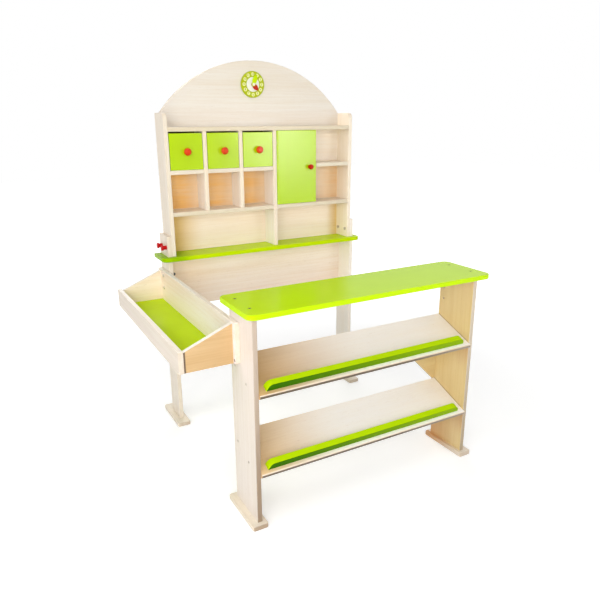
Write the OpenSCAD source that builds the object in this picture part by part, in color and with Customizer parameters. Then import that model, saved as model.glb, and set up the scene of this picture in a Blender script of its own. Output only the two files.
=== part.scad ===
// Toy market stall: a shelf unit on posts, a counter, and a side tray that joins them.
// Lengths are in millimetres. X runs to the right, Y away from the customer, Z up from the floor.
// The pieces are laid out from the front of the shelf unit, then moved to the middle of the floor area.

/* [Boards] */
// Thickness of the plywood boards
board_t = 12; // [10:0.5:15]
// Bevel along the boards' edges
edge_ease = 1; // [0.4:0.1:2]
// Height of both green tops above the floor
work_h = 536; // [510:1:600]
// How far both green tops pass the posts and legs at each end
end_over = 20; // [16:1:40]
// Corner radius of both green tops
top_r = 20; // [8:1:30]

/* [Shelf unit] */
// Depth of the posts and side panels
unit_d = 80; // [72:1:120]
// Clear width of one drawer bay
bay_w = 100; // [70:1:130]
// Clear width of the cupboard
cupboard_w = 130; // [90:1:170]
// Clear width of the right-hand cubbies
cubby_w = 122; // [80:1:170]
// Clear height below the lower shelves
lower_h = 116; // [80:1:150]
// Clear height of the cubbies under the drawers
cubby_h = 107; // [70:1:140]
// Clear height of the drawer bays
bay_h = 106; // [90:1:140]
// Clear height of the lower right-hand cubby
corner_h = 111; // [70:1:150]
// Height of the side panels above the top shelf
rim_h = 39; // [20:1:80]
// Radius of the side panels' front top corner
panel_r = 15; // [4:1:30]
// Rise of the arch above the side panels
arch_rise = 150; // [120:1:200]
// How far the posts stand up above the green board
post_rise = 60; // [50:1:90]
// Height of the apron board
apron_h = 164; // [100:1:220]
// How far the green board passes the posts at the front
board_front = 17; // [12:1:40]

/* [Feet] */
// Width of a foot
foot_w = 40; // [30:1:60]
// Length of a foot
foot_l = 150; // [136:1:180]
// Thickness of a foot
foot_t = 12; // [8:0.5:20]
// Depth of the groove that a post or leg stands in
foot_groove = 4; // [2:0.5:6]
// Corner radius of a foot
foot_r = 6; // [2:1:12]
// How far the feet sit outwards of the posts and legs
foot_off = 3; // [0:0.5:8]

/* [Drawers and door] */
// Gap at each side of a drawer
drawer_gap = 1.4; // [0.4:0.1:2.5]
// Gap above a drawer front
drawer_top_gap = 4.5; // [1:0.5:6]
// Running gap under a drawer
slide_gap = 0.3; // [0.2:0.05:0.6]
// Gap behind a closed drawer
drawer_back_gap = 2; // [1:0.5:10]
// Thickness of the drawer walls
drawer_wall_t = 6; // [4:0.5:9]
// Height of the drawer walls
drawer_wall_h = 62; // [40:1:75]
// Thickness of the drawer bottoms
drawer_floor_t = 4; // [3:0.5:6]
// Gap around the door
door_gap = 0.5; // [0.3:0.1:1]
// How far the door stops short of the partition's far face
door_short = 1; // [0.6:0.1:3]
// Distance from the door's free edge to its knob
door_knob_in = 25; // [16:1:40]
// Diameter of the door's pivot pins
pivot_d = 4; // [3:0.5:6]
// Depth of a pivot pin in the door and in the shelf
pivot_l = 8; // [5:0.5:9]
// Radial play of pins in their bores
pin_play = 0.05; // [0.02:0.01:0.1]
// Diameter of a knob's ball
knob_d = 21; // [16:1:28]
// Diameter of the door's knob
door_knob_d = 16; // [14:1:24]
// How much of each knob's front is cut flat
knob_flat = 2; // [0.5:0.5:4]
// Distance from a front to the ball's centre
knob_out = 11; // [9:0.5:16]
// Diameter of a knob's neck
knob_neck_d = 11; // [10:0.5:14]
// Diameter of a knob's tenon
knob_tenon_d = 8; // [6:0.5:9]
// Length of a knob's tenon
knob_tenon_l = 8; // [5:0.5:9]

/* [Clock] */
// Diameter of the dial
dial_d = 76; // [68:1:110]
// Thickness of the dial
dial_t = 6; // [5:0.5:10]
// Distance from the top of the arch to the dial's centre
dial_drop = 68; // [58:1:110]
// How far the dial sits to the left of the arch's middle
dial_left = 9; // [0:1:60]
// Thickness of a hand
hand_t = 2.5; // [1.5:0.5:4]
// Running gap between dial, hands and pin head
hand_gap = 0.3; // [0.2:0.05:0.6]
// Length of the minute hand from the pin
minute_l = 30; // [22:1:33]
// Length of the hour hand from the pin
hour_l = 23; // [16:1:30]
// Greatest width of a hand
hand_w = 14; // [9:0.5:16]
// Diameter of a hand's hub
hub_d = 11; // [9:0.5:16]
// Minute hand's angle clockwise from the top
minute_deg = 20; // [0:1:359]
// Hour hand's angle clockwise from the top
hour_deg = 136; // [0:1:359]
// Diameter of the clock's centre pin
clock_pin_d = 4; // [3:0.5:5]
// Depth of the centre pin in the dial
clock_pin_in = 4; // [2:0.5:4.5]
// Diameter of the centre pin's head
clock_head_d = 8; // [6:0.5:12]
// Thickness of the centre pin's head
clock_head_t = 2; // [1:0.5:4]

/* [Counter] */
// Clear distance between shelf unit and counter legs
aisle_d = 458; // [350:1:600]
// Depth of the counter legs
leg_d = 125; // [110:1:160]
// How far the counter top passes the legs at the front
top_front = 29; // [20:1:50]
// How far the counter top passes the legs at the back
top_back = 19; // [10:1:40]
// Slope of the display shelves in degrees
shelf_slope = 21.5; // [10:0.5:26]
// Length of the display shelves down the slope
shelf_len = 143; // [115:1:150]
// Drop from the counter's surface to the upper display shelf's back edge
upper_drop = 145; // [100:1:200]
// Height between the two display shelves
shelf_gap = 200; // [150:1:240]
// Thickness of the lip strips
lip_t = 18; // [10:1:24]
// Height of the lip strips above their shelf
lip_h = 18; // [12:1:30]
// Distance from the shelf's front edge to its lip
lip_set = 11; // [6:0.5:20]
// Gap between a lip strip's end and the leg
lip_end = 19; // [5:1:40]
// Radius of a lip strip's upper corners
lip_r = 17; // [4:1:17]
// Length of the corner brace's two square sides
brace_l = 197; // [120:1:240]
// Blunt tip of the corner brace
brace_tip = 8; // [4:1:20]

/* [Tray] */
// Drop from the counter's surface to the tray's underside
tray_down = 145; // [110:1:200]
// Width of the tray outside the posts
tray_w = 140; // [100:1:200]
// Height of the tall inner panel
tray_tall = 100; // [90:1:125]
// Height of the low outer panel
tray_low = 52; // [35:1:80]
// How far the end panels' tops lie below the side panels' tops
tray_drop = 4; // [2:0.5:10]
// Thickness of the tray's floor
tray_floor_t = 8; // [5:0.5:12]
// How far the tray's end panels sit back from the low panel's ends
tray_end_set = 3; // [0:0.5:8]
// How far the tray box laps over the post
tray_lap_back = 69; // [40:1:72]
// How far the tray box laps over the counter leg
tray_lap_leg = 47; // [35:1:52]
// How far the tall panel laps over the counter leg
panel_lap_leg = 57; // [52:1:80]
// Radius of the tall panel's front corners
tray_r = 6; // [2:1:15]

/* [Fasteners] */
// Diameter of the wood screws
screw_d = 4; // [3:0.5:5]
// Diameter of the wood screws' heads
screw_head_d = 8; // [6:0.5:10]
// Height of the wood screws' heads
screw_head_h = 2.5; // [1.5:0.5:4]
// How far the wood screws' heads lie below the surface
screw_sink = 0.5; // [0.2:0.1:1]
// Length of the wood screws past the first board
screw_grip = 25; // [15:1:40]
// Spacing of the two screws in each end of the counter top
top_screw_pitch = 80; // [50:1:90]
// Spacing of the two screws in each end of a display shelf
shelf_screw_pitch = 66; // [40:1:80]
// Distance from a display shelf's rear edge to its first screw
shelf_screw_in = 26; // [15:1:40]
// Spacing of the brace's two screws
brace_screw_pitch = 90; // [50:1:120]
// Diameter of the connector bolts
bolt_d = 5; // [4:0.5:6]
// Diameter of the connector bolts' heads
bolt_head_d = 10; // [8:0.5:13]
// Height of the connector bolts' heads
bolt_head_h = 2.5; // [1.5:0.5:4]
// Distance from the post's front edge to its first bolt
post_bolt_in = 13; // [10:1:20]
// Spacing of the two bolts in a post
post_bolt_pitch = 42; // [25:1:50]
// Height of the post's bolts above the green board
post_bolt_up = 27; // [16:1:40]
// Diameter of the red pegs' heads
peg_d = 16; // [12:1:22]
// How far the red pegs stand out
peg_l = 16; // [11:0.5:25]
// Thickness of the red pegs' heads
peg_head_t = 6; // [4:0.5:9]
// Diameter of the red pegs' necks
peg_neck_d = 12; // [9:0.5:14]
// Depth of the bolt in a peg
peg_grip = 8; // [5:0.5:9]
// Depth of the right post's bolts in the post
post_grip = 8; // [5:0.5:9]
// Distance from the leg's rear edge to the tray bolts
leg_bolt_in = 17; // [10:1:24]
// Height of the lower tray bolt above the tray's underside
leg_bolt_up = 49; // [40:1:60]
// Spacing of the two tray bolts in a leg
leg_bolt_pitch = 30; // [20:1:32]
// Width of the two spare holes in the free leg
spare_hole_d = 5.5; // [5:0.1:8]
// Height of the apron bolt above the tray's underside
apron_bolt_up = 75; // [45:1:82]
// Diameter of the barrel nut
barrel_d = 10; // [8:0.5:14]
// Distance from the apron's end to the barrel nut
barrel_in = 21; // [14:1:40]
// Distance from the tall panel's front end to its end screw
end_screw_in = 7; // [6:0.5:8]
// Height of the end screw above the tray's underside
end_screw_up = 9; // [6:0.5:20]
// Play between fixed pieces that slot together
fit_play = 0.1; // [0.05:0.05:0.3]

/* [Hidden] */
$fn = 48;
e = edge_ease;
cut = 1;

// Widths and places across the stall
hutch_w = 3 * bay_w + cupboard_w + cubby_w + 4 * board_t;
panel_x = hutch_w / 2;
post_x = panel_x + board_t;
post_out = post_x + board_t;
post_mid = post_x + board_t / 2;
top_half = post_out + end_over;
div_x = [for (i = [1 : 2]) -panel_x + i * bay_w + (i - 1) * board_t];
mid_x = -panel_x + 3 * bay_w + 2 * board_t;
part_x = mid_x + board_t + cupboard_w;
hinge_x = mid_x + board_t + door_gap + board_t / 2;
door_right = part_x + board_t - door_short;

// Heights
top_under = work_h - board_t;
upper_z = work_h - upper_drop;
lower_z = upper_z - shelf_gap;
tray_z = work_h - tray_down;
low_z = work_h + lower_h;
mid_z = low_z + board_t + cubby_h;
high_z = mid_z + board_t + bay_h;
small_z = low_z + board_t + corner_h;
panel_h = high_z + board_t + rim_h - work_h;
panel_z = work_h + panel_h;
arch_z = panel_z + arch_rise;
arch_r = (panel_x * panel_x + arch_rise * arch_rise) / (2 * arch_rise);
dial_z = arch_z - dial_drop;
stand_z = foot_t - foot_groove;

// Depths
back_y = unit_d - board_t;
drawer_l = back_y - drawer_back_gap - board_t;
leg_y = -aisle_d - leg_d;
top_y = leg_y - top_front;
top_d = leg_d + top_front + top_back;
tray_front = -aisle_d - tray_lap_leg;
tray_len = tray_lap_back - tray_front;
tray_in = -post_out - board_t;
tray_out = -post_out - tray_w;

// The floor area's middle, which becomes the origin
x_low = min(tray_out, -top_half, -post_mid - foot_off - foot_w / 2);
x_high = max(top_half, post_mid + foot_off + foot_w / 2);
y_low = min(top_y, leg_y + leg_d / 2 - foot_l / 2);
y_high = max(unit_d, unit_d / 2 + foot_l / 2);
origin = [-(x_low + x_high) / 2, -(y_low + y_high) / 2, 0];

wood = [0.90, 0.80, 0.64];
lime = [0.70, 0.85, 0.05];
red = [0.85, 0.20, 0.10];
steel = [0.62, 0.62, 0.64];

// Rectangle with bevelled corners
module bevel_outline(w, h) {
    polygon([[e, 0], [w - e, 0], [w, e], [w, h - e], [w - e, h], [e, h], [0, h - e], [0, e]]);
}

// Board with every edge bevelled, from its low corner
module eased_box(s) {
    intersection() {
        linear_extrude(s[2]) bevel_outline(s[0], s[1]);
        translate([0, s[1], 0]) rotate([90, 0, 0]) linear_extrude(s[1]) bevel_outline(s[0], s[2]);
        rotate([90, 0, 90]) linear_extrude(s[0]) bevel_outline(s[1], s[2]);
    }
}

// Round plate with bevelled rims
module eased_disc(r, h) {
    rotate_extrude() polygon([[0, 0], [r - e, 0], [r, e], [r, h - e], [r - e, h], [0, h]]);
}

// Square block over one corner of a board, reaching inwards by r
module corner_block(s, r, at) {
    translate([at[0] == 1 ? s[0] - r : -cut, at[1] == 1 ? s[1] - r : -cut, -cut])
        cube([r + cut, r + cut, s[2] + 2 * cut]);
}

// Bevelled board whose four corners can each be rounded; 0 leaves a corner square
module eased_slab(s, r) {
    corners = [[0, 0], [1, 0], [0, 1], [1, 1]];
    difference() {
        eased_box(s);
        for (i = [0 : 3]) if (r[i] > 0) corner_block(s, r[i], corners[i]);
    }
    for (i = [0 : 3]) if (r[i] > 0) intersection() {
        translate([
            corners[i][0] == 1 ? s[0] - r[i] : r[i],
            corners[i][1] == 1 ? s[1] - r[i] : r[i],
            0
        ]) eased_disc(r[i], s[2]);
        corner_block(s, r[i], corners[i]);
    }
}

// Stands a board up in the plane of the side panels: length along Y, height along Z
module side_on() {
    rotate([90, 0, 90]) children();
}

// Stands a board up facing the front: length along X, height along Z
module front_on() {
    rotate([90, 0, 0]) children();
}

// Moves the stall to its origin
module placed(c) {
    color(c) translate(origin) children();
}

// Places a piece on a display shelf: X across, Y up the slope, Z off the shelf's underside
module on_slope(z) {
    translate([0, -aisle_d, z]) rotate([shelf_slope, 0, 0]) translate([0, -shelf_len, -board_t]) children();
}

// Wood screw, pointing down from the surface at zero, with a six-sided socket
module wood_screw(l) {
    difference() {
        union() {
            translate([0, 0, -screw_sink - screw_head_h]) cylinder(d = screw_head_d, h = screw_head_h);
            translate([0, 0, -l]) cylinder(d = screw_d, h = l - screw_sink - screw_head_h / 2);
        }
        translate([0, 0, -screw_sink - screw_head_h / 2]) cylinder(d = screw_d, h = screw_head_h, $fn = 6);
    }
}

// Hole for a wood screw
module screw_bore(l) {
    translate([0, 0, -screw_sink - screw_head_h])
        cylinder(d = screw_head_d + 2 * pin_play, h = screw_head_h + screw_sink + cut);
    translate([0, 0, -l - pin_play]) cylinder(d = screw_d + 2 * pin_play, h = l);
}

// Connector bolt, pointing down from the surface at zero, with a proud head
module bolt(l) {
    difference() {
        union() {
            cylinder(d = bolt_head_d, h = bolt_head_h);
            translate([0, 0, -l]) cylinder(d = bolt_d, h = l + bolt_head_h / 2);
        }
        translate([0, 0, bolt_head_h / 2]) cylinder(d = bolt_d, h = bolt_head_h, $fn = 6);
    }
}

// Hole for a connector bolt's shank, from a surface at zero downwards
module bolt_bore(l) {
    translate([0, 0, -l]) cylinder(d = bolt_d + 2 * pin_play, h = l + cut);
}

// Places of the two bolts in each post, seen from inside the panels and pointing outwards
module at_post_bolts(side) {
    for (i = [0 : 1])
        translate([side * panel_x, post_bolt_in + i * post_bolt_pitch, work_h + post_bolt_up])
            rotate([0, -side * 90, 0]) children();
}

// Places of the two tray bolts in a leg, seen from outside and pointing inwards
module at_leg_bolts(x, side) {
    for (i = [0 : 1])
        translate([x, -aisle_d - leg_bolt_in, tray_z + leg_bolt_up + i * leg_bolt_pitch])
            rotate([0, side * 90, 0]) children();
}

// Place of the bolt that holds the tray to the apron, pointing to the right
module at_apron_bolt() {
    translate([tray_in, back_y + board_t / 2, tray_z + apron_bolt_up]) rotate([0, -90, 0]) children();
}

// Place of the tall panel's end screw, pointing to the right
module at_end_screw() {
    translate([tray_in, -aisle_d - panel_lap_leg + end_screw_in, tray_z + end_screw_up])
        rotate([0, -90, 0]) children();
}

// Places of the counter top's screws, pointing down
module at_top_screws() {
    for (side = [-1, 1], k = [-1, 1])
        translate([side * post_mid, leg_y + leg_d / 2 + k * top_screw_pitch / 2, work_h]) children();
}

// Places of one display shelf's screws, pointing inwards from the legs' outer faces
module at_shelf_screws(z) {
    on_slope(z) for (side = [-1, 1], k = [0, 1])
        translate([side * post_out, shelf_len - shelf_screw_in - k * shelf_screw_pitch, board_t / 2])
            rotate([0, side * 90, 0]) children();
}

// Height of the brace's upper edge, just under the upper display shelf
brace_z = upper_z - board_t / cos(shelf_slope) - fit_play;

// Places of the brace's screws, pointing forwards into the leg
module at_brace_screws() {
    for (k = [-1, 1])
        translate([post_mid, -aisle_d + board_t, brace_z - brace_l / 2 + k * brace_screw_pitch / 2])
            rotate([-90, 0, 0]) children();
}

// Lengths of the fasteners
function post_bolt_l(side) = side < 0 ? 2 * board_t + peg_grip : board_t + post_grip;
apron_bolt_l = 2 * board_t + barrel_in + barrel_d / 2;
leg_bolt_l = 2 * board_t;
screw_l = board_t + screw_grip;

// Upright with bevelled edges, bored where bolts pass
module post(side) {
    difference() {
        translate([side > 0 ? post_x : -post_out, 0, stand_z])
            eased_box([board_t, unit_d, work_h + post_rise - stand_z]);
        at_post_bolts(side) bolt_bore(post_bolt_l(side));
        at_apron_bolt() bolt_bore(apron_bolt_l);
    }
}
module left_post() {
    placed(wood) post(-1);
}
module right_post() {
    placed(wood) post(1);
}

// Foot with a groove for the upright of the given depth
module foot(side, y_mid, depth) {
    translate([side * post_mid, y_mid, 0]) difference() {
        translate([side * foot_off - foot_w / 2, -foot_l / 2, 0])
            eased_slab([foot_w, foot_l, foot_t], [foot_r, foot_r, foot_r, foot_r]);
        translate([-board_t / 2 - fit_play, -depth / 2 - fit_play, stand_z])
            cube([board_t + 2 * fit_play, depth + 2 * fit_play, foot_t]);
    }
}
module back_left_foot() {
    placed(wood) foot(-1, unit_d / 2, unit_d);
}
module back_right_foot() {
    placed(wood) foot(1, unit_d / 2, unit_d);
}
module counter_left_foot() {
    placed(wood) foot(-1, leg_y + leg_d / 2, leg_d);
}
module counter_right_foot() {
    placed(wood) foot(1, leg_y + leg_d / 2, leg_d);
}

// Green board, notched from the back round the posts
module back_board() {
    placed(lime) difference() {
        translate([-top_half, -board_front, top_under])
            eased_slab([2 * top_half, board_front + unit_d, board_t], [top_r, top_r, 0, 0]);
        for (x = [-post_out, post_x])
            translate([x - fit_play, -fit_play, top_under - cut])
                cube([board_t + 2 * fit_play, unit_d + cut, board_t + 2 * cut]);
    }
}

// Board under the green board, with the cross hole of the barrel nut
module apron() {
    placed(wood) difference() {
        translate([-post_x, back_y, top_under - apron_h]) eased_box([2 * post_x, board_t, apron_h]);
        at_apron_bolt() bolt_bore(apron_bolt_l + fit_play);
        translate([-post_x + barrel_in, back_y - cut, tray_z + apron_bolt_up])
            rotate([-90, 0, 0]) cylinder(d = barrel_d + 2 * pin_play, h = board_t);
    }
}

// Upper side panel with a rounded front top corner
module side_panel(side) {
    difference() {
        translate([side > 0 ? panel_x : -post_x, 0, work_h])
            side_on() eased_slab([unit_d, panel_h, board_t], [0, 0, panel_r, 0]);
        at_post_bolts(side) bolt_bore(post_bolt_l(side));
    }
}
module left_panel() {
    placed(wood) side_panel(-1);
}
module right_panel() {
    placed(wood) side_panel(1);
}

// Back panel that rises to a round arch between the side panels
module arched_back() {
    placed(wood) {
        translate([-panel_x, back_y, work_h]) cube([hutch_w, board_t, panel_h]);
        intersection() {
            translate([0, unit_d, arch_z - arch_r]) front_on() eased_disc(arch_r, board_t);
            translate([-panel_x, back_y - cut, panel_z]) cube([hutch_w, board_t + 2 * cut, arch_rise + cut]);
        }
    }
}

// Shelf of the upper unit between two places across it
module shelf(x0, x1, z) {
    translate([x0, 0, z]) eased_box([x1 - x0, back_y, board_t]);
}

// Bore for a door pivot pin, from zero upwards
module pivot_bore() {
    translate([hinge_x, board_t / 2, -cut])
        cylinder(d = pivot_d + 2 * pin_play, h = pivot_l + fit_play + cut);
}
module top_shelf() {
    placed(wood) difference() {
        shelf(-panel_x, panel_x, high_z);
        translate([0, 0, high_z]) pivot_bore();
    }
}
module drawer_shelf() {
    placed(wood) difference() {
        shelf(-panel_x, mid_x, mid_z);
        for (x = div_x)
            translate([x - fit_play, -cut, mid_z - cut])
                cube([board_t + 2 * fit_play, back_y / 2 + fit_play + cut, board_t + 2 * cut]);
    }
}
module lower_left_shelf() {
    placed(wood) shelf(-panel_x, mid_x, low_z);
}
module lower_right_shelf() {
    placed(wood) difference() {
        shelf(mid_x + board_t, panel_x, low_z);
        translate([0, 0, low_z + board_t]) mirror([0, 0, 1]) pivot_bore();
    }
}
module small_shelf() {
    placed(wood) shelf(part_x + board_t, panel_x, small_z);
}

// Divider that crosses the drawer shelf in a halved joint
module divider(i) {
    difference() {
        translate([div_x[i], 0, low_z + board_t]) eased_box([board_t, back_y, high_z - low_z - board_t]);
        translate([div_x[i] - cut, back_y / 2 - fit_play, mid_z - fit_play])
            cube([board_t + 2 * cut, back_y, board_t + 2 * fit_play]);
    }
}
module divider_1() {
    placed(wood) divider(0);
}
module divider_2() {
    placed(wood) divider(1);
}
module middle_divider() {
    placed(wood) translate([mid_x, 0, work_h]) eased_box([board_t, back_y, high_z - work_h]);
}
module cupboard_partition() {
    placed(wood) translate([part_x, board_t + door_gap, low_z + board_t])
        eased_box([board_t, back_y - board_t - door_gap, high_z - low_z - board_t]);
}

// Turned ball knob on a neck, with a tenon that goes into the front; it points towards the customer
module knob(d) {
    rotate([90, 0, 0]) rotate_extrude() intersection() {
        union() {
            translate([0, knob_out]) circle(d = d);
            translate([-knob_neck_d / 2, 0]) square([knob_neck_d, knob_out]);
            translate([-knob_tenon_d / 2, -knob_tenon_l]) square([knob_tenon_d, knob_tenon_l + knob_out]);
        }
        translate([0, -knob_tenon_l]) square([d, knob_tenon_l + knob_out + d / 2 - knob_flat]);
    }
}

// Hole for a knob's tenon
module knob_bore() {
    translate([0, -cut, 0]) rotate([-90, 0, 0])
        cylinder(d = knob_tenon_d + 2 * pin_play, h = knob_tenon_l + fit_play + cut);
}

// Drawer pieces, counted from the left
drawer_w = bay_w - 2 * drawer_gap;
drawer_h = bay_h - slide_gap - drawer_top_gap;
drawer_z = mid_z + board_t + slide_gap;
module in_bay(i) {
    translate([-panel_x + i * (bay_w + board_t) + drawer_gap, 0, drawer_z]) children();
}
module drawer_front(i) {
    in_bay(i) difference() {
        eased_box([drawer_w, board_t, drawer_h]);
        translate([drawer_w / 2, 0, drawer_h / 2]) knob_bore();
    }
}
module drawer_walls(i) {
    in_bay(i) translate([0, board_t, drawer_floor_t]) {
        cube([drawer_wall_t, drawer_l, drawer_wall_h]);
        translate([drawer_w - drawer_wall_t, 0, 0]) cube([drawer_wall_t, drawer_l, drawer_wall_h]);
        translate([drawer_wall_t + fit_play, drawer_l - drawer_wall_t, 0])
            cube([drawer_w - 2 * drawer_wall_t - 2 * fit_play, drawer_wall_t, drawer_wall_h]);
    }
}
module drawer_bottom(i) {
    in_bay(i) translate([0, board_t, 0]) cube([drawer_w, drawer_l, drawer_floor_t]);
}
module drawer_knob(i) {
    in_bay(i) translate([drawer_w / 2, 0, drawer_h / 2]) knob(knob_d);
}
module drawer_1_front() {
    placed(lime) drawer_front(0);
}
module drawer_1_walls() {
    placed(wood) drawer_walls(0);
}
module drawer_1_bottom() {
    placed(wood) drawer_bottom(0);
}
module drawer_1_knob() {
    placed(red) drawer_knob(0);
}
module drawer_2_front() {
    placed(lime) drawer_front(1);
}
module drawer_2_walls() {
    placed(wood) drawer_walls(1);
}
module drawer_2_bottom() {
    placed(wood) drawer_bottom(1);
}
module drawer_2_knob() {
    placed(red) drawer_knob(1);
}
module drawer_3_front() {
    placed(lime) drawer_front(2);
}
module drawer_3_walls() {
    placed(wood) drawer_walls(2);
}
module drawer_3_bottom() {
    placed(wood) drawer_bottom(2);
}
module drawer_3_knob() {
    placed(red) drawer_knob(2);
}

// Door with a half-round hinge edge about its pivot pins
door_z = low_z + board_t + door_gap;
door_h = high_z - door_gap - door_z;
module door_panel() {
    placed(lime) difference() {
        union() {
            translate([hinge_x, board_t / 2, door_z]) cylinder(d = board_t, h = door_h);
            intersection() {
                translate([hinge_x - board_t, 0, door_z])
                    eased_box([door_right - hinge_x + board_t, board_t, door_h]);
                translate([hinge_x, -cut, door_z]) cube([hutch_w, board_t + 2 * cut, door_h]);
            }
        }
        translate([0, 0, door_z]) pivot_bore();
        translate([0, 0, door_z + door_h]) mirror([0, 0, 1]) pivot_bore();
        translate([door_right - door_knob_in, 0, door_z + door_h / 2]) knob_bore();
    }
}
module door_knob() {
    placed(red) translate([door_right - door_knob_in, 0, door_z + door_h / 2]) knob(door_knob_d);
}
module door_pins() {
    placed(steel) for (z = [low_z + board_t - pivot_l, door_z + door_h - pivot_l])
        translate([hinge_x, board_t / 2, z]) cylinder(d = pivot_d, h = 2 * pivot_l + door_gap);
}

// Clock: pieces stacked forwards from the back panel
hour_y = back_y - dial_t - hand_gap;
minute_y = hour_y - hand_t - hand_gap;
head_y = minute_y - hand_t - hand_gap;
module clock_dial() {
    placed(lime) difference() {
        translate([-dial_left, back_y, dial_z]) front_on() eased_disc(dial_d / 2, dial_t);
        translate([-dial_left, hour_y, dial_z]) rotate([-90, 0, 0])
            cylinder(d = clock_pin_d + 2 * pin_play, h = hand_gap + clock_pin_in + fit_play);
    }
}
module clock_pin() {
    placed(wood) translate([-dial_left, 0, dial_z]) {
        translate([0, head_y, 0]) rotate([-90, 0, 0])
            cylinder(d = clock_pin_d, h = back_y - dial_t + clock_pin_in - head_y);
        translate([0, head_y, 0]) front_on() cylinder(d = clock_head_d, h = clock_head_t);
    }
}

// Leaf-shaped hand: two round sides that meet at the tip and behind the hub
module hand(l, deg, y) {
    half = (l + hub_d / 4) / 2;
    side_r = (half * half + hand_w * hand_w / 4) / hand_w;
    translate([-dial_left, y, dial_z]) rotate([0, deg, 0]) front_on() linear_extrude(hand_t) difference() {
        union() {
            intersection_for(s = [-1, 1])
                translate([s * (side_r - hand_w / 2), l - half]) circle(r = side_r);
            circle(d = hub_d);
        }
        circle(d = clock_pin_d + 2 * pin_play);
    }
}
module hour_hand() {
    placed(red) hand(hour_l, hour_deg, hour_y);
}
module minute_hand() {
    placed(lime) hand(minute_l, minute_deg, minute_y);
}

// Counter leg; both have the two tray bolt holes, so the tray can go on either side
module leg(side) {
    difference() {
        translate([side > 0 ? post_x : -post_out, leg_y, stand_z])
            eased_box([board_t, leg_d, top_under - stand_z]);
        at_top_screws() screw_bore(screw_l);
        at_shelf_screws(upper_z) screw_bore(screw_l);
        at_shelf_screws(lower_z) screw_bore(screw_l);
    }
}
module left_leg() {
    placed(wood) difference() {
        leg(-1);
        at_leg_bolts(-post_out, -1) bolt_bore(board_t + cut);
        at_end_screw() screw_bore(leg_bolt_l - cut);
    }
}
module right_leg() {
    placed(wood) difference() {
        leg(1);
        at_leg_bolts(post_out, 1)
            translate([0, 0, -board_t - cut]) cylinder(d = spare_hole_d, h = board_t + 2 * cut);
        at_brace_screws() screw_bore(screw_l);
    }
}
module counter_top() {
    placed(lime) difference() {
        translate([-top_half, top_y, top_under])
            eased_slab([2 * top_half, top_d, board_t], [top_r, top_r, top_r, top_r]);
        at_top_screws() screw_bore(screw_l);
    }
}

// Sloping display shelf with a half-round front edge
module display_shelf(z) {
    difference() {
        on_slope(z) {
            intersection() {
                translate([-post_x, 0, 0]) eased_box([2 * post_x, shelf_len, board_t]);
                translate([-post_x, board_t / 2, 0]) cube([2 * post_x, shelf_len, board_t]);
            }
            translate([-post_x, board_t / 2, board_t / 2]) rotate([0, 90, 0])
                cylinder(d = board_t, h = 2 * post_x);
        }
        at_shelf_screws(z) screw_bore(screw_l);
    }
}
module upper_shelf() {
    placed(wood) display_shelf(upper_z);
}
module lower_shelf() {
    placed(wood) display_shelf(lower_z);
}

// Lip strip that stands on a display shelf near its front edge
module lip(z) {
    on_slope(z) translate([-post_x + lip_end, lip_set + lip_t, board_t + fit_play])
        front_on() eased_slab([2 * (post_x - lip_end), lip_h, lip_t], [0, 0, lip_r, lip_r]);
}
module upper_lip() {
    placed(lime) lip(upper_z);
}
module lower_lip() {
    placed(lime) lip(lower_z);
}

// Three-cornered board behind the right leg, under the upper display shelf
module corner_brace() {
    placed(wood) difference() {
        translate([post_out - brace_l, -aisle_d + board_t, brace_z - brace_l]) front_on()
            linear_extrude(board_t) polygon([
                [0, brace_l], [0, brace_l - brace_tip], [brace_l - brace_tip, 0],
                [brace_l, 0], [brace_l, brace_l]
            ]);
        for (z = [upper_z, lower_z]) on_slope(z)
            translate([-post_x - fit_play, 0, -fit_play])
                cube([2 * (post_x + fit_play), shelf_len + fit_play, board_t + 2 * fit_play]);
        at_brace_screws() screw_bore(screw_l);
    }
}

// Tray panels
module tray_tall_panel() {
    placed(wood) difference() {
        translate([tray_in, -aisle_d - panel_lap_leg, tray_z]) side_on()
            eased_slab([aisle_d + panel_lap_leg + unit_d, tray_tall, board_t], [tray_r, 0, tray_r, 0]);
        at_leg_bolts(tray_in, -1) bolt_bore(leg_bolt_l);
        at_apron_bolt() bolt_bore(apron_bolt_l);
        at_end_screw() screw_bore(leg_bolt_l - cut);
    }
}
module tray_low_panel() {
    placed(wood) translate([tray_out, tray_front, tray_z]) eased_box([board_t, tray_len, tray_low]);
}

// Tray end: its top edge falls from the tall panel to the low one
module tray_end(y) {
    translate([tray_out + board_t, y + board_t, tray_z]) front_on() linear_extrude(board_t) polygon([
        [0, 0], [tray_w - 2 * board_t, 0],
        [tray_w - 2 * board_t, tray_tall - tray_drop], [0, tray_low - tray_drop]
    ]);
}
module tray_back_end() {
    placed(wood) tray_end(tray_lap_back - tray_end_set - board_t);
}
module tray_front_end() {
    placed(wood) tray_end(tray_front + tray_end_set);
}
module tray_floor() {
    placed(lime) translate([tray_out + board_t, tray_front + tray_end_set + board_t, tray_z])
        cube([tray_w - 2 * board_t, tray_len - 2 * tray_end_set - 2 * board_t, tray_floor_t]);
}

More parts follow.
